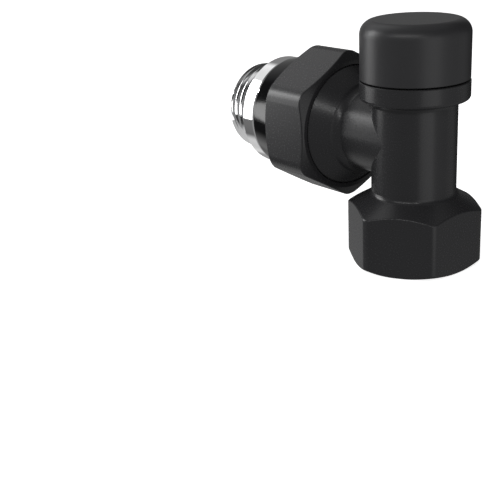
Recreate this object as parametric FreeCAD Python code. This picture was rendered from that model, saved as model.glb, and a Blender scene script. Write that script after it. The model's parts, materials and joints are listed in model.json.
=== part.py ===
import FreeCAD, Part
import math
import os

# Angle lockshield radiator valve.  Millimetres.  The pipe inlet mouth is centred on the
# origin, +Z runs up the barrel to the cap, and the branch with its union nut and
# threaded radiator tail runs along -X.  Shapes on the branch are turned about +Z first,
# with Z as the distance from the barrel axis, and then laid along -X.

V = FreeCAD.Vector

# ---- threads ---------------------------------------------------------------------
PIPE_MAJOR_R = 10.478   # standard pipe thread G 1/2 (ISO 228)
PIPE_MINOR_R = 9.316
PIPE_PITCH = 1.814      # shared by G 1/2 and G 3/4
CAP_PITCH = 1.5
SPINDLE_PITCH = 1.0
METRIC_DEPTH = 0.613    # depth of a metric thread, in pitches
GROOVE_BOTTOM = 0.12    # half width of a thread groove's flat bottom, in pitches
GROOVE_MOUTH = 0.44     # half width of its mouth, in pitches
GROOVE_PAST = 0.25      # how far the cutter runs past the mouth, in thread depths

# ---- fits ------------------------------------------------------------------------
RUN = 0.08              # radial clearance of a turning or screwed fit
HEAD_RUN = 0.1          # radial clearance of the spindle's sealed head
SEAL_EASE = 0.03        # radial clearance of an O-ring against its bore
SEAL_FLOAT = 0.02       # radial clearance of an O-ring against its groove
AIR = 0.3               # gap between faces that never touch
STEP = 0.15             # end clearance of a ring in its groove
RIM = 0.15              # edge break where the cap meets the collar
CORNER_TO_FLAT = 30.0   # degrees from a hexagon's corner to the middle of its flat
UPRIGHT = 0.99          # cosine from the vertical under which an edge counts as upright
EDGE = 0.4              # edge break on turned ends
EDGE_R = 0.35           # rounding of a hexagon's chamfer edges
OVER = 1.0              # how far a cutter runs past the face that it cuts
SECTORS = 12            # equal sectors in the wall of a threaded end

# ---- body ------------------------------------------------------------------------
HEX_AF = 26.0           # spanner size of the inlet end
HEX_CORNER_R = 2.0
HEX_FACE_Z = 13.3       # height of the hexagon at the middle of a flat
CHAMFER_DEG = 30.0      # slope of the turned hexagon chamfers
INLET_CHAMFER = 0.45
INLET_ROOF = 2.3        # inlet thread ends this far below the hexagon's shoulder
RELIEF_L = 1.2          # cone between the inlet thread and the throat
RELIEF_EASE = 0.1
BARREL_R = 9.1
BARREL_FILLET_R = 1.2
BRANCH_Z = 27.1         # height of the branch axis
BRANCH_UNDER = 0.01     # the branch is this much slimmer, so the two meet in a sharp point
COLLAR_STEP = 2.5       # collar radius beyond the barrel
COLLAR_RISE = 8.75      # underside of the collar above the branch axis
COLLAR_H = 4.05
COLLAR_ROUND_R = 0.8
COLLAR_FILLET_R = 1.2
NECK_H = 6.6            # threaded neck above the collar
NECK_PLAIN = 1.1        # plain length of the neck below its thread
FLARE_START_U = 15.1    # distances named _U run from the barrel axis along the branch
FLARE_STEP = 1.1        # radius of the flare's inner edge beyond the branch
FLARE_RUN = 2.0         # length of the hollow fillet between branch and flare
FLARE_EDGE_R = 0.25
FLARE_END_U = 19.0
FLARE_LAND = 1.5
FLARE_OVER = 0.13       # flare radius beyond the union thread
UNION_END_U = 29.5      # end face of the male union thread
UNION_PLAIN = 1.0       # plain length between the land and the union thread
PASSAGE_R = 5.5
SEAT_DROP = 0.8         # seat lip below the lowest line of the branch passage
SEAT_LIP_H = 0.5
SEAT_LIP_W = 1.0
SEAT_STEP = 2.2         # seat bore radius below the chamber's
SEAT_BORE_L = 2.0
THROAT_STEP = 1.5       # throat radius beyond the seat bore, and length of its taper
SOCKET_L = 6.0          # depth of the bore that takes the tail's spigot
SOCKET_LAND = 1.0
SOCKET_TAPER = 1.5
SOCKET_EASE = 0.8

# ---- headwork --------------------------------------------------------------------
NECK_WALL = 2.05
SHOULDER_RISE = 1.2     # the bonnet's seat above the collar's underside
CHAMBER_STEP = 0.75
BONNET_ABOVE = 1.3      # bonnet head above the neck
BONNET_LEDGE = 2.0      # floor of the sealed bore above the bonnet's seat
BONNET_GROOVE_Z = 1.2   # O-ring groove above the bonnet's seat
BONNET_GROOVE_H = 1.4
BONNET_SLOT_W = 1.6
BONNET_SLOT_DEPTH = 0.4
SKIRT_GAP = 0.8         # bonnet above the disc holder when the valve is open
HEAD_STEP = 3.15        # spindle head radius below the bonnet's
HEAD_H = 3.6
SCREW_STEP = 0.8        # spindle thread radius below its head's
STEM_STEP = 0.7         # key end radius below the head's
STEM_DROP = 2.2         # top of the spindle below the bonnet's head
STEM_EDGE = 0.3
GROOVE_DEPTH = 0.95     # O-ring grooves of bonnet and spindle
HEAD_GROOVE_Z = 0.5     # first O-ring groove above the bottom of the head
HEAD_GROOVE_H = 1.1
HEAD_GROOVE_PITCH = 1.6
KEY_RATIO = 1.22        # key socket across flats, in stem radii
KEY_DEPTH = 4.0
NECK_RATIO = 0.55       # waist of the spindle over its button, in spindle radii
BUTTON_RATIO = 0.7
BUTTON_H = 1.4
BUTTON_PLAY = 0.05
SCREW_ABOVE = 0.7       # spindle thread above the disc holder
CLIP_T = 0.6
CLIP_DROP = 1.05        # groove of the retaining ring below the bonnet's head
CLIP_GROOVE_H = 0.7
CLIP_BITE = 0.6
CLIP_GAP = 1.6
LIFT = 4.0              # travel of the valve disc
HOLDER_H = 6.5
HOLDER_RIM_H = 2.2
HOLDER_CONE = 2.0
HOLDER_STEP = 0.8       # disc holder radius below the chamber's
WASHER_H = 1.5
WASHER_STEP = 0.2
PLATE_H = 0.5
PLATE_STEP = 1.6
SCREW_R = 1.5
SCREW_HEAD_H = 1.2
SCREW_HEAD_STEP = 2.0
SCREW_HEAD_EDGE_H = 0.5
SCREW_EASE = 0.05
SCREW_TIP = 0.7         # screw's end below the spindle's button
SCREW_SLOT_W = 0.7
SCREW_SLOT_DEPTH = 0.6
SCREW_SLOT_END = 0.8

# ---- cap -------------------------------------------------------------------------
CAP_H = 12.2
CAP_UNDER = 0.1         # cap radius below the collar's
CAP_WALL = 1.5
CAP_ROUND_R = 3.0
CAP_CREASE = 2.55       # cap radius less the radius of its flat top
CAP_ROOF = 2.2
CAP_WELL = 0.65         # radius of the cap's inner well beyond the bonnet
SEAL_H = 1.0            # flat ring on top of the neck
SEAL_SIDE = 0.1

# ---- union nut and tail ----------------------------------------------------------
NUT_AF = 30.0
NUT_CORNER_R = 4.0
NUT_FACE_U = 18.9
NUT_HEX_L = 13.3
NUT_COLLAR_L = 6.7
NUT_COLLAR_STEP = 0.6   # collar radius below half the spanner size
NUT_COLLAR_END_R = 13.0
NUT_COLLAR_EDGE = 0.25
NUT_FACE_STEP = 0.5     # flat end ring radius below half the spanner size
NUT_CHAMFER_DEG = 25.0
NUT_MOUTH_EASE = 0.15   # radial gap round the flare's land
NUT_MOUTH_CONE = 1.2
NUT_RELIEF_L = 1.0      # plain bore past the end of the male thread
NUT_CONE_L = 0.6
NUT_CHAMBER_STEP = 0.9  # chamber radius of the snap ring beyond the tail's shank
NUT_LIP = 2.9
NUT_WALL = 1.779        # thread crest to flat; leaves G 3/4 in a 30 mm nut
SHANK_STEP = 1.92       # tail's shank radius below the union thread
SPIGOT_STEP = 2.4       # spigot radius below the shank
TAIL_FLANGE_R = 12.8
TAIL_FLANGE_L = 4.1
TAIL_RECESS = 0.3       # recess in the flange's rear face round the thread's start
TAIL_RECESS_W = 0.25
TAIL_THREAD_L = 8.4
TAIL_UNDERCUT = 1.4
TAIL_RUNOUT = 0.6
TAIL_POINT = 1.7
TAIL_POINT_STEP = 0.7
TAIL_BORE_R = 5.75
TAIL_KEY_AF = 12.0
TAIL_KEY_DEPTH = 9.0
TAIL_LEAD_L = 0.8       # slope by which the thread's root end opens to full depth
TAIL_GROOVE_DEPTH = 1.35
TAIL_GROOVE_W = 2.0
TAIL_GROOVE_U = 2.1     # O-ring groove from the spigot's end
NUT_MOUTH_L = 0.8       # nut's mouth bore beyond the flare's land
SNAP_T = 1.2
SNAP_BITE = 0.8         # depth of the snap ring's groove
SNAP_PLAY = 0.05
SNAP_STAND = 0.6        # snap ring's radius beyond the shank
SNAP_GAP = 5.0
THRUST_T = 1.0
THRUST_W = 0.7

# ---- derived sizes ---------------------------------------------------------------
THREAD_DEPTH = PIPE_MAJOR_R - PIPE_MINOR_R
CHAMFER = math.tan(math.radians(CHAMFER_DEG))
NUT_CHAMFER = math.tan(math.radians(NUT_CHAMFER_DEG))
BRANCH_R = BARREL_R - BRANCH_UNDER
FOOT_Z = HEX_FACE_Z + (HEX_AF / 2 - BARREL_R) * CHAMFER
COLLAR_Z = BRANCH_Z + COLLAR_RISE
COLLAR_TOP_Z = COLLAR_Z + COLLAR_H
COLLAR_R = BARREL_R + COLLAR_STEP
CAP_R = COLLAR_R - CAP_UNDER
CAP_Z = COLLAR_TOP_Z + AIR
CAP_TOP_Z = CAP_Z + CAP_H
CAP_THREAD_R = CAP_R - CAP_WALL
CAP_CEILING_Z = CAP_TOP_Z - CAP_ROOF
NECK_TOP_Z = COLLAR_TOP_Z + NECK_H
NECK_ROOT_R = CAP_THREAD_R - METRIC_DEPTH * CAP_PITCH
BONNET_R = CAP_THREAD_R - NECK_WALL
BONNET_TOP_Z = NECK_TOP_Z + BONNET_ABOVE
SHOULDER_Z = COLLAR_Z + SHOULDER_RISE
CHAMBER_R = BONNET_R - CHAMBER_STEP
SEAT_Z = BRANCH_Z - PASSAGE_R - SEAT_DROP
SEAT_FLOOR_Z = SEAT_Z - SEAT_LIP_H
SEAT_R = CHAMBER_R - SEAT_STEP
THROAT_R = SEAT_R + THROAT_STEP
INLET_DEPTH = HEX_FACE_Z - INLET_ROOF
HEAD_R = BONNET_R - HEAD_STEP
HEAD_Z = SHOULDER_Z + BONNET_LEDGE + HEAD_RUN
SPINDLE_R = HEAD_R - SCREW_STEP
SPINDLE_ROOT_R = SPINDLE_R - METRIC_DEPTH * SPINDLE_PITCH
SPINDLE_TOP_Z = BONNET_TOP_Z - STEM_DROP
STEM_R = HEAD_R - STEM_STEP
WAIST_R = SPINDLE_R * NECK_RATIO
BUTTON_R = SPINDLE_R * BUTTON_RATIO
HOLDER_R = CHAMBER_R - HOLDER_STEP
HOLDER_Z = SEAT_Z + WASHER_H
HOLDER_TOP_Z = HOLDER_Z + HOLDER_H
BUTTON_Z = HOLDER_Z + HOLDER_H / 2
SCREW_Z = HOLDER_TOP_Z + SCREW_ABOVE
SKIRT_Z = HOLDER_TOP_Z + LIFT + SKIRT_GAP
PLATE_Z = SEAT_Z - PLATE_H
UNION_R = NUT_AF / 2 - NUT_WALL
UNION_ROOT_R = UNION_R - THREAD_DEPTH
FLARE_R = UNION_R + FLARE_OVER
LAND_U = FLARE_END_U + FLARE_LAND
SHANK_R = UNION_R - SHANK_STEP
SPIGOT_R = SHANK_R - SPIGOT_STEP
SOCKET_U = UNION_END_U - SOCKET_L
NUT_FACE_R = NUT_AF / 2 - NUT_FACE_STEP
NUT_COLLAR_R = NUT_AF / 2 - NUT_COLLAR_STEP
NUT_HEX_END_U = NUT_FACE_U + NUT_HEX_L
NUT_END_U = NUT_HEX_END_U + NUT_COLLAR_L
LIP_U = NUT_END_U - NUT_LIP
TAIL_FLANGE_U = NUT_END_U + AIR / 2
TAIL_THREAD_U = TAIL_FLANGE_U + TAIL_FLANGE_L
TAIL_END_U = TAIL_THREAD_U + TAIL_THREAD_L
SNAP_GROOVE_W = SNAP_T + 2 * STEP
SNAP_U = LIP_U - THRUST_T - SNAP_GROOVE_W


# ---- helpers ---------------------------------------------------------------------
def turned(points):
    """Solid of revolution about Z from (radius, height) points, closed along the axis."""
    wire = Part.makePolygon([V(r, 0, z) for r, z in points + [points[0]]])
    return Part.Face(wire).revolve(V(0, 0, 0), V(0, 0, 1), 360)


def cylinder(r, z0, z1):
    return Part.makeCylinder(r, z1 - z0, V(0, 0, z0))


def ring(r_in, r_out, z0, z1):
    return cylinder(r_out, z0, z1).cut(cylinder(r_in, z0 - OVER, z1 + OVER))


def o_ring(r_groove, r_bore, z):
    """O-ring between a groove's bottom and the bore that it seals, both radii given."""
    r_in = r_groove + SEAL_FLOAT
    r_out = r_bore - SEAL_EASE
    return Part.makeTorus((r_in + r_out) / 2, (r_out - r_in) / 2, V(0, 0, z))


def hexagon(af, z0, z1, corner_r=0.0):
    """Hexagonal prism with a corner on +X, its upright edges rounded."""
    r = af / math.sqrt(3)
    corners = [V(r * math.cos(k * math.pi / 3), r * math.sin(k * math.pi / 3), z0) for k in range(7)]
    prism = Part.Face(Part.makePolygon(corners)).extrude(V(0, 0, z1 - z0))
    if corner_r:
        upright = [e for e in prism.Edges if abs(e.tangentAt(e.FirstParameter).z) > UPRIGHT]
        prism = prism.makeFillet(corner_r, upright)
    return prism


def soften(shape, r):
    """Round the edges that a turned chamfer leaves on a hexagon."""
    chosen = []
    for edge in shape.Edges:
        cones = ["Cone" in face.Surface.TypeId for face in shape.ancestorsOfType(edge, Part.Face)]
        if sorted(cones) == [False, True] and edge.Length > r and not edge.isClosed():
            chosen.append(edge)
    return shape.makeFillet(r, chosen)


def sectored(r, z0, z1):
    """Cylinder whose wall is laid out in equal sectors."""
    angle = 360.0 / SECTORS
    parts = []
    for k in range(SECTORS):
        wedge = Part.makeCylinder(r, z1 - z0, V(0, 0, z0), V(0, 0, 1), angle)
        wedge.rotate(V(0, 0, 0), V(0, 0, 1), k * angle)
        parts.append(wedge)
    return parts


def cut_thread(blank, r_bottom, r_mouth, pitch, z0, z1):
    """Cut a right-hand helical V groove, its bottom and its mouth at the given radii."""
    path = Part.makeLongHelix(pitch, z1 - z0, min(r_bottom, r_mouth))
    path.translate(V(0, 0, z0))
    past = (r_mouth - r_bottom) * GROOVE_PAST
    bottom = GROOVE_BOTTOM * pitch
    mouth = (GROOVE_MOUTH + (GROOVE_MOUTH - GROOVE_BOTTOM) * GROOVE_PAST) * pitch
    corners = [V(r_bottom, 0, z0 - bottom), V(r_mouth + past, 0, z0 - mouth),
               V(r_mouth + past, 0, z0 + mouth), V(r_bottom, 0, z0 + bottom)]
    section = Part.makePolygon(corners + [corners[0]])
    return blank.cut(Part.Wire(path.Edges).makePipeShell([section], True, True))


def screwed(r, r_root, pitch, z0, z1):
    """Male thread from z0 to z1 with a bevelled lead at each end."""
    lead = r - r_root
    blank = turned([(0, z0), (r_root, z0), (r, z0 + lead), (r, z1 - lead), (r_root, z1), (0, z1)])
    return cut_thread(blank, r_root, r, pitch, z0 - pitch, z1 + pitch)


def to_branch(shape):
    """Lay a shape turned about Z along the branch."""
    laid = shape.copy()
    laid.rotate(V(0, 0, 0), V(0, 1, 0), -90)
    laid.translate(V(0, 0, BRANCH_Z))
    return laid


def revolved(edges):
    """Solid of revolution about Z from a closed chain of edges in the XZ plane."""
    return Part.Face(Part.Wire(Part.sortEdges(edges)[0])).revolve(V(0, 0, 0), V(0, 0, 1), 360)


def line(a, b):
    return Part.makeLine(V(a[0], 0, a[1]), V(b[0], 0, b[1]))


def arc(a, b, centre, r):
    """Short arc from a to b about a centre."""
    mx = (a[0] + b[0]) / 2 - centre[0]
    mz = (a[1] + b[1]) / 2 - centre[1]
    k = r / math.hypot(mx, mz)
    mid = V(centre[0] + mx * k, 0, centre[1] + mz * k)
    return Part.Arc(V(a[0], 0, a[1]), mid, V(b[0], 0, b[1])).toShape()


# ---- valve body ------------------------------------------------------------------
def body_hexagon():
    """Inlet hexagon with turned chamfers; the upper cone runs up to the barrel."""
    flat_r = HEX_AF / 2
    wide = HEX_AF
    prism = hexagon(HEX_AF, 0, FOOT_Z, HEX_CORNER_R)
    prism.rotate(V(0, 0, 0), V(0, 0, 1), CORNER_TO_FLAT)
    below = turned([(0, 0), (flat_r, 0), (wide, (wide - flat_r) * CHAMFER), (wide, FOOT_Z + wide),
                    (0, FOOT_Z + wide)])
    above = turned([(0, -OVER), (wide, -OVER), (wide, HEX_FACE_Z + (flat_r - wide) * CHAMFER),
                    (BARREL_R, FOOT_Z), (0, FOOT_Z)])
    return soften(prism.common(below).common(above), EDGE_R)


def barrel():
    """Barrel, foot fillet, collar and the plain core of the neck under the cap."""
    # the foot fillet touches the barrel and the cone below it
    reach = BARREL_FILLET_R / math.tan(math.radians(90 + CHAMFER_DEG) / 2)
    foot = (BARREL_R + reach * math.cos(math.radians(CHAMFER_DEG)),
            FOOT_Z - reach * math.sin(math.radians(CHAMFER_DEG)))
    foot_top = (BARREL_R, FOOT_Z + reach)
    foot_c = (BARREL_R + BARREL_FILLET_R, FOOT_Z + reach)
    under = (BARREL_R, COLLAR_Z - COLLAR_FILLET_R)
    under_out = (BARREL_R + COLLAR_FILLET_R, COLLAR_Z)
    under_c = (BARREL_R + COLLAR_FILLET_R, COLLAR_Z - COLLAR_FILLET_R)
    low = (COLLAR_R - COLLAR_ROUND_R, COLLAR_Z)
    side = (COLLAR_R, COLLAR_Z + COLLAR_ROUND_R)
    low_c = (COLLAR_R - COLLAR_ROUND_R, COLLAR_Z + COLLAR_ROUND_R)
    base_z = INLET_DEPTH
    chain = [side, (COLLAR_R, COLLAR_TOP_Z - RIM), (COLLAR_R - RIM, COLLAR_TOP_Z),
             (NECK_ROOT_R, COLLAR_TOP_Z), (NECK_ROOT_R, NECK_TOP_Z), (0, NECK_TOP_Z), (0, base_z),
             (foot[0], base_z), foot]
    edges = [arc(foot, foot_top, foot_c, BARREL_FILLET_R), line(foot_top, under),
             arc(under, under_out, under_c, COLLAR_FILLET_R), line(under_out, low),
             arc(low, side, low_c, COLLAR_ROUND_R)]
    edges += [line(a, b) for a, b in zip(chain, chain[1:])]
    return revolved(edges)


def branch_outside():
    """Branch, hollow fillet, conical flare and the land that sits in the nut's mouth."""
    start = (BRANCH_R, FLARE_START_U - FLARE_RUN)
    crest = (BRANCH_R + FLARE_STEP, FLARE_START_U)
    # the fillet leaves the branch along its wall and ends on the flare's inner edge
    r = (FLARE_STEP ** 2 + FLARE_RUN ** 2) / (2 * FLARE_STEP)
    chain = [crest, (FLARE_R, FLARE_END_U), (FLARE_R, LAND_U), (UNION_ROOT_R, LAND_U),
             (UNION_ROOT_R, UNION_END_U), (0, UNION_END_U), (0, 0), (BRANCH_R, 0), start]
    edges = [arc(start, crest, (start[0] + r, start[1]), r)]
    edges += [line(a, b) for a, b in zip(chain, chain[1:])]
    shape = revolved(edges)
    crests = [e for e in shape.Edges if e.isClosed() and abs(e.BoundBox.ZMax - FLARE_START_U) < RIM]
    return shape.makeFillet(FLARE_EDGE_R, crests)


def waterway():
    """Bore from the inlet through the seat and the chamber to the bonnet's bore."""
    throat_z = SEAT_FLOOR_Z - SEAT_BORE_L
    relief_r = PIPE_MAJOR_R + RELIEF_EASE
    return turned([(0, INLET_DEPTH - OVER), (relief_r, INLET_DEPTH - OVER), (relief_r, INLET_DEPTH),
                   (THROAT_R, INLET_DEPTH + RELIEF_L), (THROAT_R, throat_z - THROAT_STEP), (SEAT_R, throat_z),
                   (SEAT_R, SEAT_Z), (SEAT_R + SEAT_LIP_W, SEAT_Z), (SEAT_R + SEAT_LIP_W, SEAT_FLOOR_Z),
                   (CHAMBER_R, SEAT_FLOOR_Z), (CHAMBER_R, SHOULDER_Z), (BONNET_R + RUN, SHOULDER_Z),
                   (BONNET_R + RUN, NECK_TOP_Z + OVER), (0, NECK_TOP_Z + OVER)])


def outlet():
    """Branch passage and the bore that takes the tail's spigot."""
    bore_r = SPIGOT_R + RUN
    socket_u = SOCKET_U - SOCKET_LAND
    return turned([(0, 0), (PASSAGE_R, 0), (PASSAGE_R, socket_u - SOCKET_TAPER), (bore_r, socket_u),
                   (bore_r, UNION_END_U - SOCKET_EASE), (bore_r + SOCKET_EASE, UNION_END_U),
                   (bore_r + SOCKET_EASE, UNION_END_U + OVER), (0, UNION_END_U + OVER)])


def valve_body():
    cap_screw = screwed(CAP_THREAD_R, NECK_ROOT_R, CAP_PITCH, COLLAR_TOP_Z + NECK_PLAIN, NECK_TOP_Z)
    union_screw = screwed(UNION_R, UNION_ROOT_R, PIPE_PITCH, LAND_U + UNION_PLAIN, UNION_END_U)
    shell = body_hexagon().fuse(barrel()).fuse(cap_screw)
    shell = shell.fuse(to_branch(branch_outside())).fuse(to_branch(union_screw))
    shell = shell.cut(waterway()).cut(to_branch(outlet()))
    for wedge in sectored(PIPE_MINOR_R, -OVER, INLET_DEPTH):
        shell = shell.cut(wedge)
    wide = PIPE_MINOR_R + INLET_CHAMFER
    mouth = turned([(0, -OVER), (wide, -OVER), (wide, 0), (PIPE_MINOR_R, INLET_CHAMFER), (0, INLET_CHAMFER)])
    return cut_thread(shell.cut(mouth), PIPE_MAJOR_R, PIPE_MINOR_R, PIPE_PITCH, -PIPE_PITCH, INLET_DEPTH)


# ---- headwork --------------------------------------------------------------------
def bonnet():
    """Insert that carries the spindle; two slots in its head take the fitting tool."""
    bore_r = SPINDLE_R + RUN
    head_bore_r = HEAD_R + HEAD_RUN
    ledge_z = SHOULDER_Z + BONNET_LEDGE
    shape = turned([(bore_r, SKIRT_Z), (CHAMBER_R - RUN, SKIRT_Z), (CHAMBER_R - RUN, SHOULDER_Z),
                    (BONNET_R, SHOULDER_Z), (BONNET_R, BONNET_TOP_Z - EDGE), (BONNET_R - EDGE, BONNET_TOP_Z),
                    (head_bore_r, BONNET_TOP_Z), (head_bore_r, ledge_z), (bore_r, ledge_z)])
    groove_z = SHOULDER_Z + BONNET_GROOVE_Z
    shape = shape.cut(ring(BONNET_R - GROOVE_DEPTH, BONNET_R + OVER, groove_z, groove_z + BONNET_GROOVE_H))
    clip_z = BONNET_TOP_Z - CLIP_DROP
    shape = shape.cut(cylinder(HEAD_R + CLIP_BITE, clip_z, clip_z + CLIP_GROOVE_H))
    length = 2 * (BONNET_R + OVER)
    corner = V(-length / 2, -BONNET_SLOT_W / 2, BONNET_TOP_Z - BONNET_SLOT_DEPTH)
    return shape.cut(Part.makeBox(length, BONNET_SLOT_W, OVER, corner))


def bonnet_o_ring():
    return o_ring(BONNET_R - GROOVE_DEPTH, BONNET_R + RUN, SHOULDER_Z + BONNET_GROOVE_Z + BONNET_GROOVE_H / 2)


def spindle():
    """Rising spindle: key socket, sealed head, screw thread and the button below."""
    head_top = HEAD_Z + HEAD_H
    core = turned([(0, BUTTON_Z), (BUTTON_R, BUTTON_Z), (BUTTON_R, BUTTON_Z + BUTTON_H),
                   (WAIST_R, BUTTON_Z + BUTTON_H), (WAIST_R, SCREW_Z), (SPINDLE_ROOT_R, SCREW_Z),
                   (SPINDLE_ROOT_R, HEAD_Z), (HEAD_R, HEAD_Z), (HEAD_R, head_top), (STEM_R, head_top),
                   (STEM_R, SPINDLE_TOP_Z - STEM_EDGE), (STEM_R - STEM_EDGE, SPINDLE_TOP_Z),
                   (0, SPINDLE_TOP_Z)])
    blank = cylinder(SPINDLE_R, SCREW_Z, HEAD_Z - SPINDLE_PITCH / 2)
    screw = cut_thread(blank, SPINDLE_ROOT_R, SPINDLE_R, SPINDLE_PITCH, SCREW_Z - SPINDLE_PITCH,
                       HEAD_Z + SPINDLE_PITCH)
    shape = core.fuse(screw)
    for k in range(2):
        z = HEAD_Z + HEAD_GROOVE_Z + k * HEAD_GROOVE_PITCH
        shape = shape.cut(ring(HEAD_R - GROOVE_DEPTH, HEAD_R + OVER, z, z + HEAD_GROOVE_H))
    return shape.cut(hexagon(STEM_R * KEY_RATIO, SPINDLE_TOP_Z - KEY_DEPTH, SPINDLE_TOP_Z + OVER))


def spindle_o_rings():
    z = HEAD_Z + HEAD_GROOVE_Z + HEAD_GROOVE_H / 2
    heights = [z, z + HEAD_GROOVE_PITCH]
    return Part.makeCompound([o_ring(HEAD_R - GROOVE_DEPTH, HEAD_R + HEAD_RUN, h) for h in heights])


def spindle_clip():
    """Open ring in the bonnet's top groove that keeps the spindle head in."""
    z = BONNET_TOP_Z - CLIP_DROP + (CLIP_GROOVE_H - CLIP_T) / 2
    shape = ring(STEM_R + STEP, HEAD_R + CLIP_BITE - SNAP_PLAY, z, z + CLIP_T)
    gap = Part.makeBox(HEAD_R + OVER, CLIP_GAP, CLIP_T + 2 * OVER, V(0, -CLIP_GAP / 2, z - OVER))
    return shape.cut(gap)


def disc_holder():
    """Holder crimped round the spindle's button, so that it can turn on it."""
    shape = turned([(0, HOLDER_Z), (HOLDER_R, HOLDER_Z), (HOLDER_R, HOLDER_Z + HOLDER_RIM_H),
                    (HOLDER_R - HOLDER_CONE, HOLDER_TOP_Z), (0, HOLDER_TOP_Z)])
    pocket_z = BUTTON_Z - BUTTON_PLAY
    shape = shape.cut(cylinder(BUTTON_R + RUN, pocket_z, BUTTON_Z + BUTTON_H + BUTTON_PLAY))
    shape = shape.cut(cylinder(WAIST_R + RUN, BUTTON_Z, HOLDER_TOP_Z + OVER))
    return shape.cut(cylinder(SCREW_R, HOLDER_Z - OVER, BUTTON_Z - SCREW_TIP + SCREW_EASE))


def seat_washer():
    return ring(SCREW_R + SCREW_EASE, HOLDER_R - WASHER_STEP, SEAT_Z, HOLDER_Z)


def washer_plate():
    return ring(SCREW_R + SCREW_EASE, SEAT_R - PLATE_STEP, PLATE_Z, SEAT_Z)


def washer_screw():
    """Cross-slotted screw that holds the washer and its plate to the holder."""
    head_r = SEAT_R - SCREW_HEAD_STEP
    bottom = PLATE_Z - SCREW_HEAD_H
    tip = BUTTON_Z - SCREW_TIP
    shape = turned([(0, bottom), (head_r - EDGE, bottom), (head_r, bottom + SCREW_HEAD_EDGE_H),
                    (head_r, PLATE_Z), (SCREW_R, PLATE_Z), (SCREW_R, tip), (0, tip)])
    reach = head_r - SCREW_SLOT_END
    for angle in (0, 90):
        slot = Part.makeBox(2 * reach, SCREW_SLOT_W, SCREW_SLOT_DEPTH + OVER,
                            V(-reach, -SCREW_SLOT_W / 2, bottom - OVER))
        slot.rotate(V(0, 0, 0), V(0, 0, 1), angle)
        shape = shape.cut(slot)
    return shape


# ---- cap -------------------------------------------------------------------------
def cap():
    """Blind screw cap: flat top, rounded shoulder, straight side."""
    drop = math.sqrt(CAP_ROUND_R ** 2 - (CAP_ROUND_R - CAP_CREASE) ** 2)
    centre = (CAP_R - CAP_ROUND_R, CAP_TOP_Z - drop)
    crease = (CAP_R - CAP_CREASE, CAP_TOP_Z)
    side = (CAP_R, CAP_TOP_Z - drop)
    bore_r = CAP_THREAD_R + RUN
    well_r = BONNET_R + CAP_WELL
    shelf_z = NECK_TOP_Z + SEAL_H
    chain = [side, (CAP_R, CAP_Z + RIM), (CAP_R - RIM, CAP_Z), (bore_r, CAP_Z), (bore_r, shelf_z),
             (well_r, shelf_z), (well_r, CAP_CEILING_Z), (0, CAP_CEILING_Z), (0, CAP_TOP_Z), crease]
    edges = [arc(crease, side, centre, CAP_ROUND_R)]
    edges += [line(a, b) for a, b in zip(chain, chain[1:])]
    return revolved(edges)


def cap_seal():
    return ring(BONNET_R + CAP_WELL + SEAL_SIDE, CAP_THREAD_R - SEAL_SIDE, NECK_TOP_Z, NECK_TOP_Z + SEAL_H)


# ---- union nut and tail ----------------------------------------------------------
def nut_outside():
    """Hexagon with turned chamfers and a tapered collar behind it."""
    wide = NUT_AF
    u0 = NUT_FACE_U
    u1 = NUT_HEX_END_U
    prism = hexagon(NUT_AF, u0, u1, NUT_CORNER_R)
    front = turned([(0, u0), (NUT_FACE_R, u0), (wide, u0 + (wide - NUT_FACE_R) * NUT_CHAMFER),
                    (wide, u1 + wide), (0, u1 + wide)])
    back = turned([(0, u0 - OVER), (wide, u0 - OVER), (wide, u1 - (wide - NUT_FACE_R) * CHAMFER),
                   (NUT_FACE_R, u1), (0, u1)])
    collar = turned([(0, u1 - OVER), (NUT_COLLAR_R, u1 - OVER), (NUT_COLLAR_R, u1),
                     (NUT_COLLAR_END_R, NUT_END_U - NUT_COLLAR_EDGE),
                     (NUT_COLLAR_END_R - NUT_COLLAR_EDGE, NUT_END_U), (0, NUT_END_U)])
    return soften(prism.common(front).common(back), EDGE_R).fuse(collar)


def nut_inside():
    """Mouth round the flare's land, thread bore, snap ring chamber and the lip's bore."""
    mouth_r = FLARE_R + NUT_MOUTH_EASE
    thread_r = UNION_R + RUN
    mouth_u = LAND_U + NUT_MOUTH_L
    thread_end = UNION_END_U + NUT_RELIEF_L
    chamber_r = SHANK_R + NUT_CHAMBER_STEP
    lip_r = SHANK_R + RUN
    return turned([(0, NUT_FACE_U - OVER), (mouth_r + NUT_MOUTH_CONE, NUT_FACE_U - OVER),
                   (mouth_r, NUT_FACE_U + STEP), (mouth_r, mouth_u), (thread_r, mouth_u + EDGE),
                   (thread_r, thread_end), (chamber_r, thread_end + NUT_CONE_L), (chamber_r, LIP_U),
                   (lip_r, LIP_U), (lip_r, NUT_END_U + OVER), (0, NUT_END_U + OVER)])


def union_nut():
    return to_branch(nut_outside().cut(nut_inside()))


def snap_ring():
    """Open spring ring in the tail's groove."""
    u = SNAP_U + STEP
    shape = ring(SHANK_R - SNAP_BITE + SNAP_PLAY, SHANK_R + SNAP_STAND, u, u + SNAP_T)
    length = SHANK_R + OVER
    gap = Part.makeBox(length, SNAP_GAP, SNAP_T + 2 * OVER, V(-length, -SNAP_GAP / 2, u - OVER))
    return to_branch(shape.cut(gap))


def thrust_washer():
    """Plastic slide ring between the snap ring and the nut's lip."""
    u = LIP_U - THRUST_T - STEP / 2
    return to_branch(ring(SHANK_R + RUN, SHANK_R + THRUST_W, u, u + THRUST_T))


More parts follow.
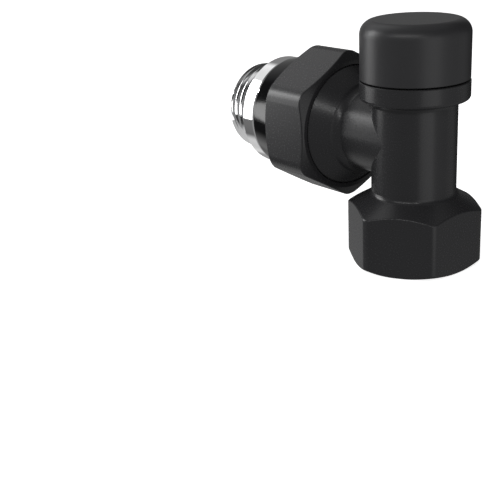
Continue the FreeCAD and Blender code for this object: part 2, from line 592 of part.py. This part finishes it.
def tail_thread():
    """Male radiator thread with an undercut at its root and a bevelled point."""
    lead_u = TAIL_THREAD_U + TAIL_UNDERCUT
    wide = PIPE_MAJOR_R + OVER
    lead = turned([(0, TAIL_THREAD_U), (PIPE_MINOR_R, lead_u - TAIL_RUNOUT), (wide, lead_u + TAIL_LEAD_L),
                   (wide, TAIL_END_U - TAIL_POINT), (PIPE_MAJOR_R - TAIL_POINT_STEP, TAIL_END_U),
                   (0, TAIL_END_U)])
    wedges = sectored(PIPE_MAJOR_R, TAIL_THREAD_U, TAIL_END_U)
    blank = wedges[0].multiFuse(wedges[1:]).common(lead)
    return cut_thread(blank, PIPE_MINOR_R, PIPE_MAJOR_R, PIPE_PITCH, TAIL_THREAD_U - PIPE_PITCH,
                      TAIL_END_U + PIPE_PITCH)


def tail_piece():
    """Spigot, grooved shank, stop flange, male thread and the hexagon socket in its bore."""
    flange_in = TAIL_FLANGE_R - EDGE
    recess_r = PIPE_MAJOR_R + TAIL_RECESS_W
    recess_u = TAIL_THREAD_U - TAIL_RECESS
    core = turned([(0, SOCKET_U), (SPIGOT_R - EDGE, SOCKET_U), (SPIGOT_R, SOCKET_U + EDGE),
                   (SPIGOT_R, UNION_END_U), (SHANK_R, UNION_END_U), (SHANK_R, TAIL_FLANGE_U),
                   (flange_in, TAIL_FLANGE_U),
                   (TAIL_FLANGE_R, TAIL_FLANGE_U + EDGE), (TAIL_FLANGE_R, TAIL_THREAD_U - EDGE),
                   (flange_in, TAIL_THREAD_U), (recess_r, TAIL_THREAD_U), (recess_r, recess_u),
                   (PIPE_MINOR_R, recess_u), (PIPE_MINOR_R, TAIL_END_U), (0, TAIL_END_U)])
    groove_u = SOCKET_U + TAIL_GROOVE_U
    core = core.cut(ring(SPIGOT_R - TAIL_GROOVE_DEPTH, SPIGOT_R + OVER, groove_u, groove_u + TAIL_GROOVE_W))
    core = core.cut(ring(SHANK_R - SNAP_BITE, SHANK_R + OVER, SNAP_U, SNAP_U + SNAP_GROOVE_W))
    shape = core.fuse(tail_thread()).cut(cylinder(TAIL_BORE_R, SOCKET_U - OVER, TAIL_END_U + OVER))
    return to_branch(shape.cut(hexagon(TAIL_KEY_AF, TAIL_END_U - TAIL_KEY_DEPTH, TAIL_END_U + OVER)))


def tail_o_ring():
    u = SOCKET_U + TAIL_GROOVE_U + TAIL_GROOVE_W / 2
    return to_branch(o_ring(SPIGOT_R - TAIL_GROOVE_DEPTH, SPIGOT_R + RUN, u))


NODES = {
    "valve_body": valve_body,
    "bonnet": bonnet,
    "bonnet_o_ring": bonnet_o_ring,
    "spindle": spindle,
    "spindle_o_rings": spindle_o_rings,
    "spindle_clip": spindle_clip,
    "disc_holder": disc_holder,
    "seat_washer": seat_washer,
    "washer_plate": washer_plate,
    "washer_screw": washer_screw,
    "cap": cap,
    "cap_seal": cap_seal,
    "union_nut": union_nut,
    "snap_ring": snap_ring,
    "thrust_washer": thrust_washer,
    "tail_piece": tail_piece,
    "tail_o_ring": tail_o_ring,
}

os.makedirs("parts", exist_ok=True)
for name, make in NODES.items():
    make().exportStep("parts/" + name + ".step")
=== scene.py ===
import json
import math

import bpy
from mathutils import Matrix, Vector


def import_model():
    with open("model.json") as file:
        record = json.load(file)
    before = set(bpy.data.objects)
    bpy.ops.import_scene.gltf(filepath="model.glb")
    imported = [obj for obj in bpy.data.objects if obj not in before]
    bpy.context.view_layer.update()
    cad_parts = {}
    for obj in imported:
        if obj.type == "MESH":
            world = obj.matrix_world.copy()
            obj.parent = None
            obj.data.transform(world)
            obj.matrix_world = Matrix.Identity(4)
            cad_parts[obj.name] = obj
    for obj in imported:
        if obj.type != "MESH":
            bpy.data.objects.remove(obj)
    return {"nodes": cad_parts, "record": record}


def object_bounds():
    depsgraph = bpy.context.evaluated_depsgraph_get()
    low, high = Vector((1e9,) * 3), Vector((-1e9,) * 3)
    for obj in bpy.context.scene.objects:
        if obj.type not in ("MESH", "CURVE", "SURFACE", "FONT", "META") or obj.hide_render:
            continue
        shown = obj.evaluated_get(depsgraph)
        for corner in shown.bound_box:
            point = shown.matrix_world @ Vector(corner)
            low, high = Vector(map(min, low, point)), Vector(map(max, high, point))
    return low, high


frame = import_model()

CAD_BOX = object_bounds()
NODES = frame["nodes"]

# lengths and places are in metres
# ---- camera ----------------------------------------------------------------------
CAMERA_AT = (0.14303, -0.15389, 0.08248)
CAMERA_LOOKS = (-0.744308, 0.565111, -0.355887)
CAMERA_UP = (-0.252715, 0.254939, 0.933349)
FOCAL_PX = 1001.4
FRAME_PX = 500.0
SENSOR_MM = 36.0

# the union nut's tapered collar lies beyond this X; over the step its coat turns glossy and its colour
# drops to near black as painted shade
NUT_COLLAR_X = -0.0322
SHADE_AND_GLOSS_STEP = 0.00005

# part of a noise value that is spread over a range, for broad clouds and for fine grain
CLOUDS = (0.3, 0.7)
GRAINS = (0.25, 0.75)
SATIN_SPECULAR = 0.3

# floor below the part, and half width of the floor
FLOOR_GAP = 0.0002
ROOM = 4.0
FLOOR_LIGHT = 0.85

# ---- light -----------------------------------------------------------------------
MIDDLE = Vector((-0.02, 0.0, 0.028))
AMBIENT = 0.03
# patches of light: direction, cosine where full, cosine where it ends, strength
GLOWS = [((-0.70, 0.0, 0.72), 0.97, 0.90, 0.8),
         ((-0.12, 0.10, 0.99), 0.97, 0.70, 0.28),
         ((-0.74, 0.57, 0.36), 0.97, 0.80, 0.2),
         ((0.45, -0.80, -0.40), 0.6, -0.2, 0.24),
         ((0.76, 0.50, -0.40), 0.9, 0.5, 0.3),
         ((-0.86, 0.40, -0.38), 0.97, 0.88, 0.28),
         ((-0.77, -0.05, -0.63), 0.99, 0.94, 0.55)]
# softboxes: direction, distance, width, height, radiance
SOFTBOXES = {"key": ((-0.845, -0.49, 0.21), 0.6, 0.32, 0.54, 3.4),
             "hot": ((-0.80, -0.48, 0.36), 0.58, 0.12, 0.22, 6.0),
             "side": ((0.97, -0.22, 0.0), 0.6, 0.4, 0.5, 0.85),
             "brow": ((0.35, -0.74, 0.57), 0.6, 0.69, 0.05, 9.0)}


def principled(name):
    """A new material, its node tree and its principled shader."""
    m = bpy.data.materials.new(name)
    m.use_nodes = True
    nt = m.node_tree
    return m, nt, nt.nodes["Principled BSDF"]


def node(nt, kind, **values):
    """A shader node, with its properties or its named inputs set."""
    n = nt.nodes.new(kind)
    for key, value in values.items():
        if hasattr(n, key):
            setattr(n, key, value)
        else:
            n.inputs[key.replace("_", " ")].default_value = value
    return n


def noise(nt, coords, scale, detail=3.0, rough=0.5):
    """Value between 0 and 1 of a noise of that many grains per metre."""
    n = node(nt, "ShaderNodeTexNoise", Scale=scale, Detail=detail, Roughness=rough)
    nt.links.new(coords, n.inputs["Vector"])
    return n.outputs["Fac"]


def ramp(nt, fac, low, high, out_low, out_high):
    """A socket's span from low to high spread over an output range."""
    n = node(nt, "ShaderNodeMapRange", clamp=True)
    for key, value in zip(("From Min", "From Max", "To Min", "To Max"), (low, high, out_low, out_high)):
        n.inputs[key].default_value = value
    nt.links.new(fac, n.inputs["Value"])
    return n.outputs["Result"]


def bump(nt, height, strength, distance, below=None):
    """Surface normal of a height, laid over another bump where one is given."""
    n = node(nt, "ShaderNodeBump", Strength=strength, Distance=distance)
    nt.links.new(height, n.inputs["Height"])
    if below is not None:
        nt.links.new(below, n.inputs["Normal"])
    return n.outputs["Normal"]


def mix_color(nt, fac, a, b):
    """Colour that goes from a to b as fac rises."""
    n = node(nt, "ShaderNodeMix", data_type="RGBA")
    n.inputs["A"].default_value = (*a, 1)
    n.inputs["B"].default_value = (*b, 1)
    nt.links.new(fac, n.inputs["Factor"])
    return n.outputs["Result"]


def blend(nt, fac, start, end):
    """A value that goes from a socket's to a plain number as fac rises."""
    n = node(nt, "ShaderNodeMix", data_type="FLOAT")
    n.inputs["B"].default_value = end
    nt.links.new(start, n.inputs["A"])
    nt.links.new(fac, n.inputs["Factor"])
    return n.outputs["Result"]


def object_space(nt):
    """Coordinates fixed to the part."""
    return nt.nodes.new("ShaderNodeTexCoord").outputs["Object"]


def stretched(nt, coords, scale):
    """Coordinates scaled apart, so that a noise on them draws out into lines."""
    n = node(nt, "ShaderNodeMapping", vector_type="POINT")
    n.inputs["Scale"].default_value = scale
    nt.links.new(coords, n.inputs["Vector"])
    return n.outputs["Vector"]


def clouded(nt, cloud, low, high):
    """Colour that drifts between two close tones."""
    return mix_color(nt, ramp(nt, cloud, *CLOUDS, 0.0, 1.0), low, high)


def powder_coat(name, shade_and_gloss_from):
    """Satin black coat with a faint orange peel; past the given X along -X it turns glossy and is
    darkened to near black as painted shade.
    """
    m, nt, bsdf = principled(name)
    at = object_space(nt)
    along = nt.nodes.new("ShaderNodeSeparateXYZ")
    nt.links.new(at, along.inputs["Vector"])
    collar_shade_and_gloss = ramp(nt, along.outputs["X"], shade_and_gloss_from - SHADE_AND_GLOSS_STEP, shade_and_gloss_from + SHADE_AND_GLOSS_STEP, 1.0, 0.0)
    grain = noise(nt, at, 2600.0, 4.0, 0.6)
    peel = noise(nt, at, 700.0, 2.0)
    cloud = noise(nt, at, 60.0, 4.0)
    satin = clouded(nt, cloud, (0.023, 0.023, 0.0245), (0.027, 0.027, 0.0288))
    # painted shade: beyond the collar X the base colour drops to near black (0.004), standing in for
    # the shade on the band behind the nut
    color = node(nt, "ShaderNodeMix", data_type="RGBA")
    color.inputs["B"].default_value = (0.004, 0.004, 0.0045, 1.0)
    nt.links.new(satin, color.inputs["A"])
    nt.links.new(collar_shade_and_gloss, color.inputs["Factor"])
    nt.links.new(color.outputs["Result"], bsdf.inputs["Base Color"])
    rough = ramp(nt, grain, *GRAINS, 0.24, 0.29)
    nt.links.new(blend(nt, collar_shade_and_gloss, rough, 0.07), bsdf.inputs["Roughness"])
    bsdf.inputs["Specular IOR Level"].default_value = SATIN_SPECULAR
    first = bump(nt, peel, 0.02, 0.0001)
    nt.links.new(bump(nt, grain, 0.02, 0.00003, first), bsdf.inputs["Normal"])
    return m


def cap_moulding():
    """Satin black plastic, a touch lighter and duller than the coating."""
    m, nt, bsdf = principled("black_cap_moulding")
    at = object_space(nt)
    grain = noise(nt, at, 3400.0, 3.0, 0.6)
    cloud = noise(nt, at, 45.0, 3.0)
    color = clouded(nt, cloud, (0.030, 0.030, 0.032), (0.035, 0.035, 0.037))
    nt.links.new(color, bsdf.inputs["Base Color"])
    nt.links.new(ramp(nt, grain, *GRAINS, 0.30, 0.40), bsdf.inputs["Roughness"])
    bsdf.inputs["Specular IOR Level"].default_value = SATIN_SPECULAR
    nt.links.new(bump(nt, grain, 0.06, 0.00004), bsdf.inputs["Normal"])
    return m


def chrome():
    """Polished chrome with faint turning lines round the branch axis."""
    m, nt, bsdf = principled("bright_chrome")
    at = object_space(nt)
    lines = noise(nt, stretched(nt, at, (9000.0, 12.0, 12.0)), 1.0, 2.0)
    haze = noise(nt, at, 180.0, 4.0)
    bsdf.inputs["Metallic"].default_value = 1.0
    color = clouded(nt, haze, (0.86, 0.865, 0.87), (0.93, 0.93, 0.935))
    nt.links.new(color, bsdf.inputs["Base Color"])
    nt.links.new(ramp(nt, haze, 0.3, 0.75, 0.035, 0.085), bsdf.inputs["Roughness"])
    nt.links.new(bump(nt, lines, 0.05, 0.00001), bsdf.inputs["Normal"])
    return m


def turned_metal(name, low, high, rough):
    """Machined metal with tool marks."""
    m, nt, bsdf = principled(name)
    at = object_space(nt)
    lines = noise(nt, stretched(nt, at, (40.0, 40.0, 7000.0)), 1.0, 3.0)
    stain = noise(nt, at, 220.0, 4.0)
    bsdf.inputs["Metallic"].default_value = 1.0
    nt.links.new(clouded(nt, stain, low, high), bsdf.inputs["Base Color"])
    nt.links.new(ramp(nt, stain, *CLOUDS, rough - 0.06, rough + 0.08), bsdf.inputs["Roughness"])
    nt.links.new(bump(nt, lines, 0.18, 0.00003), bsdf.inputs["Normal"])
    return m


def moulded(name, low, high, rough):
    """Rubber or plain plastic with a fine matt grain."""
    m, nt, bsdf = principled(name)
    at = object_space(nt)
    grain = noise(nt, at, 2200.0, 4.0, 0.6)
    cloud = noise(nt, at, 150.0, 3.0)
    nt.links.new(clouded(nt, cloud, low, high), bsdf.inputs["Base Color"])
    nt.links.new(ramp(nt, grain, *GRAINS, rough - 0.08, rough + 0.08), bsdf.inputs["Roughness"])
    nt.links.new(bump(nt, grain, 0.2, 0.00005), bsdf.inputs["Normal"])
    return m


FINISH = {
    "black_coating": powder_coat("black_powder_coat", NUT_COLLAR_X),
    "cap_plastic": cap_moulding(),
    "chrome": chrome(),
    "brass": turned_metal("turned_brass", (0.60, 0.40, 0.15), (0.72, 0.50, 0.22), 0.26),
    "steel": turned_metal("spring_steel", (0.48, 0.48, 0.49), (0.60, 0.60, 0.61), 0.24),
    "rubber": moulded("matt_rubber", (0.010, 0.010, 0.011), (0.016, 0.016, 0.017), 0.62),
    "slide_plastic": moulded("slide_plastic_white", (0.72, 0.72, 0.69), (0.80, 0.80, 0.78), 0.38),
}
for entry in frame["record"]["subparts"]:
    obj = NODES[entry["node"]]
    obj.data.materials.clear()
    obj.data.materials.append(FINISH[entry["material_slot"]])


# ---- floor, light and camera -----------------------------------------------------
def floor():
    """Pale floor with pale walls far off, lit from within and kept out of reflections."""
    me = bpy.data.meshes.new("floor")
    z = CAD_BOX[0][2] - FLOOR_GAP
    square = [(-ROOM, -ROOM), (ROOM, -ROOM), (ROOM, ROOM), (-ROOM, ROOM)]
    corners = [(x, y, z + up) for up in (0.0, ROOM) for x, y in square]
    sides = [(k, (k + 1) % 4, (k + 1) % 4 + 4, k + 4) for k in range(4)]
    me.from_pydata(corners, [], [(0, 1, 2, 3), (4, 5, 6, 7), *sides])
    obj = bpy.data.objects.new("floor", me)
    bpy.context.scene.collection.objects.link(obj)
    m, nt, bsdf = principled("pale_floor")
    at = object_space(nt)
    tone = noise(nt, at, 6.0, 2.0)
    nt.links.new(mix_color(nt, tone, (0.93, 0.93, 0.93), (0.95, 0.95, 0.95)), bsdf.inputs["Base Color"])
    bsdf.inputs["Roughness"].default_value = 0.9
    bsdf.inputs["Emission Color"].default_value = (1.0, 1.0, 1.0, 1.0)
    bsdf.inputs["Emission Strength"].default_value = FLOOR_LIGHT
    me.materials.append(m)
    obj.visible_glossy = False
    obj.visible_diffuse = False
    obj.visible_shadow = False


def soft_light(name, toward, distance, size, size_y, radiance):
    """Softbox that faces the part from a direction, its brightness given as radiance."""
    light = bpy.data.lights.new(name, "AREA")
    light.shape = "RECTANGLE"
    light.size = size
    light.size_y = size_y
    light.energy = radiance * size * size_y * math.pi
    obj = bpy.data.objects.new(name, light)
    bpy.context.scene.collection.objects.link(obj)
    away = Vector(toward).normalized()
    obj.location = MIDDLE + away * distance
    obj.rotation_euler = (-away).to_track_quat("-Z", "Y").to_euler()


def glow(nt, direction, toward, inner, outer, strength):
    """Soft round patch of light in the surroundings, its edges given as cosines."""
    dot = node(nt, "ShaderNodeVectorMath", operation="DOT_PRODUCT")
    nt.links.new(direction, dot.inputs[0])
    dot.inputs[1].default_value = Vector(toward).normalized()
    fade = node(nt, "ShaderNodeMapRange", interpolation_type="SMOOTHSTEP", clamp=True)
    for key, value in zip(("From Min", "From Max", "To Min", "To Max"), (outer, inner, 0.0, strength)):
        fade.inputs[key].default_value = value
    nt.links.new(dot.outputs["Value"], fade.inputs["Value"])
    return fade.outputs["Result"]


def added(nt, a, b):
    """Sum of a socket and another socket or a plain number."""
    n = node(nt, "ShaderNodeMath", operation="ADD")
    nt.links.new(a, n.inputs[0])
    if isinstance(b, float):
        n.inputs[1].default_value = b
    else:
        nt.links.new(b, n.inputs[1])
    return n.outputs["Value"]


def world():
    """Dark studio with a few soft patches of light."""
    w = bpy.data.worlds.new("studio")
    w.use_nodes = True
    nt = w.node_tree
    direction = nt.nodes.new("ShaderNodeTexCoord").outputs["Generated"]
    patches = [glow(nt, direction, *patch) for patch in GLOWS]
    total = patches[0]
    for patch in patches[1:]:
        total = added(nt, total, patch)
    total = added(nt, total, AMBIENT)
    background = nt.nodes["Background"]
    background.inputs["Color"].default_value = (1.0, 1.0, 1.0, 1.0)
    nt.links.new(total, background.inputs["Strength"])
    bpy.context.scene.world = w


def camera():
    cam = bpy.data.cameras.new("camera")
    cam.sensor_width = SENSOR_MM
    cam.lens = FOCAL_PX / FRAME_PX * SENSOR_MM
    cam.clip_start = 0.005
    obj = bpy.data.objects.new("camera", cam)
    bpy.context.scene.collection.objects.link(obj)
    back = -Vector(CAMERA_LOOKS).normalized()
    right = Vector(CAMERA_UP).cross(back).normalized()
    up = back.cross(right)
    turn = Matrix((right, up, back)).transposed()
    obj.matrix_world = Matrix.Translation(CAMERA_AT) @ turn.to_4x4()
    bpy.context.scene.camera = obj


floor()
world()
for title, softbox in SOFTBOXES.items():
    soft_light(title, *softbox)
camera()
bpy.context.scene.view_settings.view_transform = "Standard"
